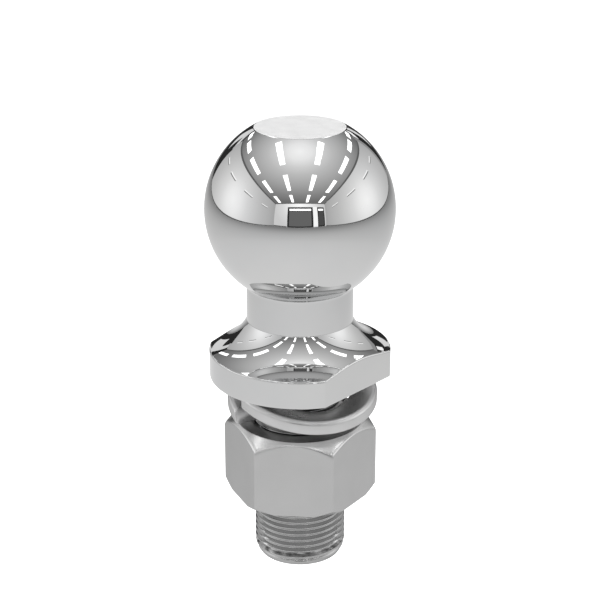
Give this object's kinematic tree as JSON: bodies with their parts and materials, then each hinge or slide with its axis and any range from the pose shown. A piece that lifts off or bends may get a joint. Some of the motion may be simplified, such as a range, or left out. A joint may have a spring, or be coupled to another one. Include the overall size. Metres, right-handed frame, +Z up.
{
  "type": "trailer hitch ball",
  "caption": "Chromed trailer hitch ball with neck, flanged base with wrench flats, threaded shank, split lock washer and hex nut.",
  "frame": {"origin": "centre of the flange's underside, on the shank's axis", "axes": "+Z up through the ball, -Z down the shank; -Y is the side that the front wrench flat is turned from towards +X"},
  "size_m": [0.0508, 0.0508, 0.1234],
  "materials": {
    "chrome_plate": "polished chrome",
    "washer_zinc": "satin zinc plate",
    "nut_zinc": "satin zinc plate"
  },
  "bodies": {
    "ball": {"hitch_ball": "chrome_plate"},
    "washer": {"lock_washer": "washer_zinc"},
    "nut": {"hex_nut": "nut_zinc"}
  },
  "joints": [
    {"name": "nut_travel", "type": "slide", "parent": "ball", "child": "washer", "axis": [0, 0, 1], "range_m": [-0.04173, 0.00181]},
    {"name": "nut_turn", "type": "hinge", "parent": "washer", "child": "nut", "pos_m": [0, 0, -0.0239], "axis": [0, 0, 1], "range_deg": [-8280, 360]}
  ],
  "couplings": [
    {"joint": "nut_travel", "follows": "nut_turn", "m_per_rad": 0.00028875}
  ]
}
